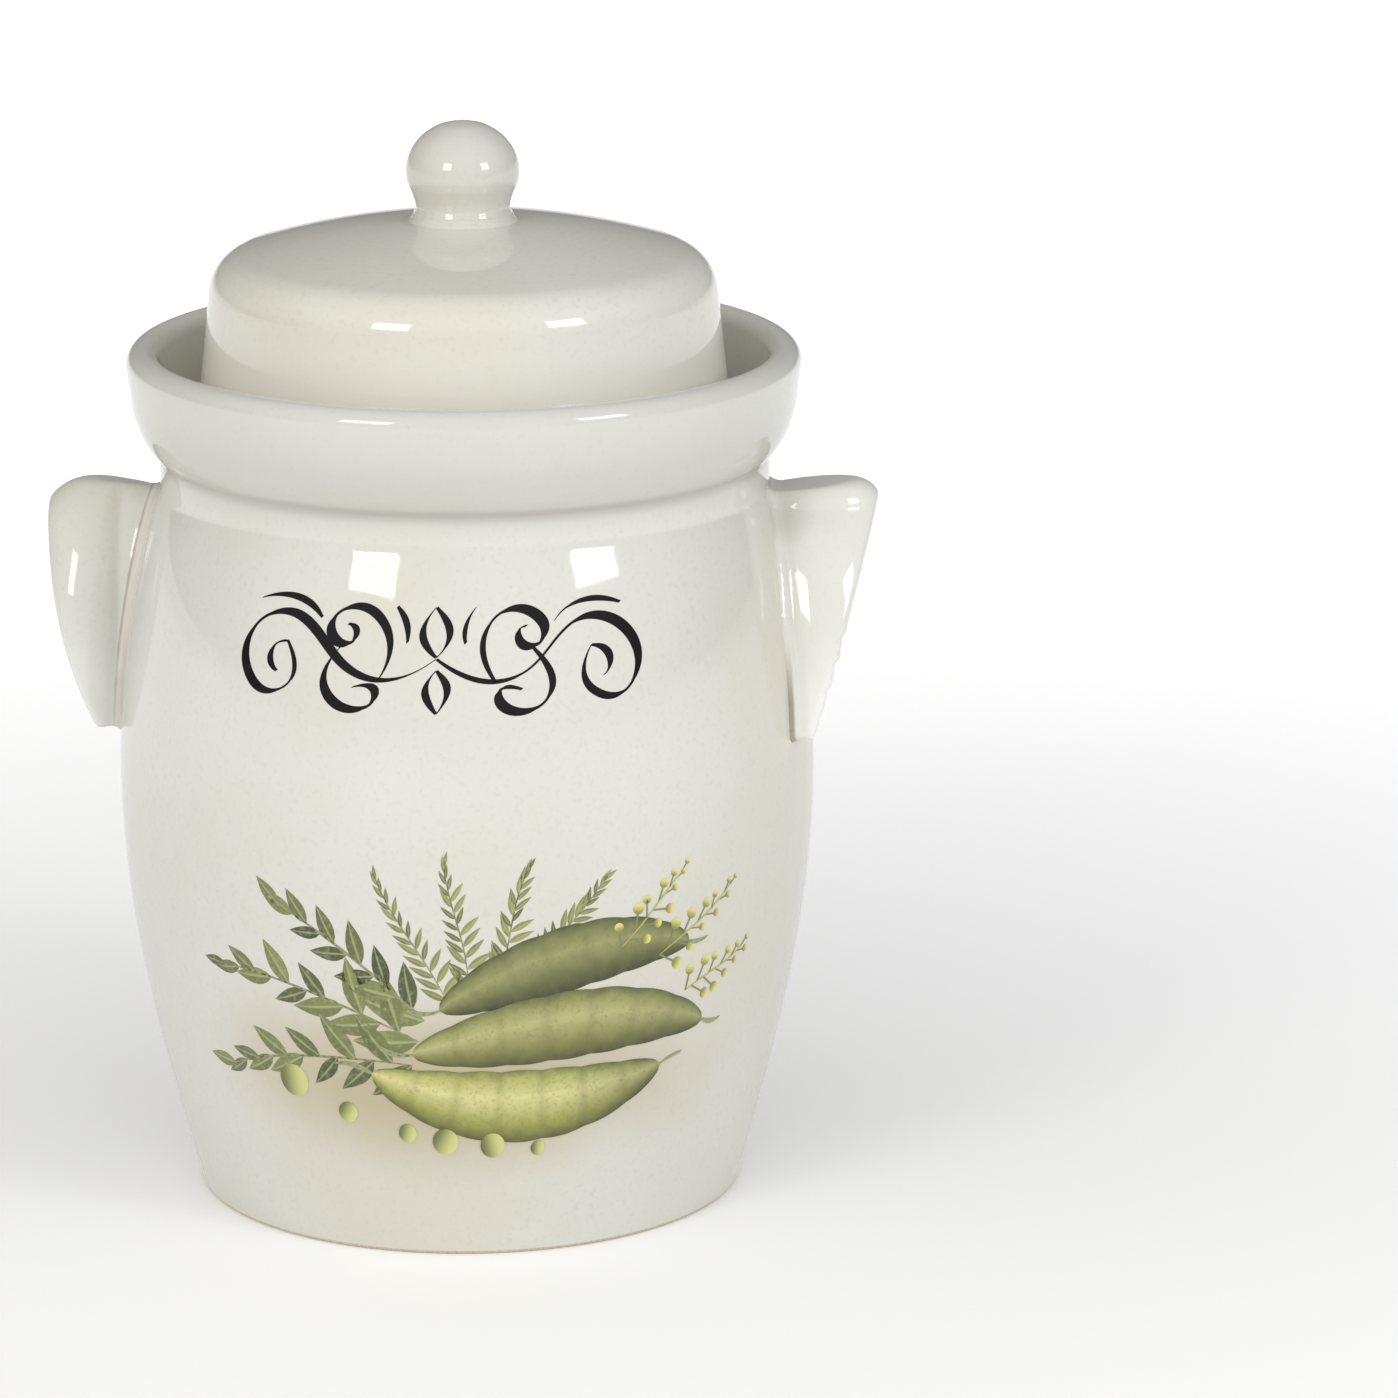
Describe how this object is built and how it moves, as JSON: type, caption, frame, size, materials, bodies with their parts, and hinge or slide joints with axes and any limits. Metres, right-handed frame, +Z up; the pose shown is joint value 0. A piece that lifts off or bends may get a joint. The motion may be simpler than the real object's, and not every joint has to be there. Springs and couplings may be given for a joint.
{
  "type": "water seal pickle jar",
  "caption": "Glazed stoneware pickle jar with a water channel round its mouth, a bell lid with ball knob, hood lugs and half-disc weights.",
  "frame": {"origin": "centre of the foot ring, on the surface that the jar stands on, in the middle of its bounding box", "axes": "+Z up along the jar's axis, -Y out of the decorated front, +X towards the right hood"},
  "size_m": [0.2247, 0.1888, 0.2927],
  "materials": {
    "crock_glaze": "gloss",
    "lid_glaze": "gloss",
    "bare_stoneware": "matte"
  },
  "bodies": {
    "crock": {"crock_body": "crock_glaze", "channel_rim": "crock_glaze", "handle_left": "crock_glaze", "handle_right": "crock_glaze"},
    "lid": {"lid_shell": "lid_glaze", "lid_knob": "lid_glaze"},
    "stone_left": {"weight_stone_left": "bare_stoneware"},
    "stone_right": {"weight_stone_right": "bare_stoneware"}
  },
  "joints": [
    {"name": "lid_lift", "type": "slide", "parent": "crock", "child": "lid", "axis": [0, 0, 1], "range_m": [0, 0.12]},
    {"name": "stone_left_lift", "type": "slide", "parent": "crock", "child": "stone_left", "axis": [0, 0, 1], "range_m": [0, 0.199]},
    {"name": "stone_right_lift", "type": "slide", "parent": "crock", "child": "stone_right", "axis": [0, 0, 1], "range_m": [0, 0.199]}
  ]
}
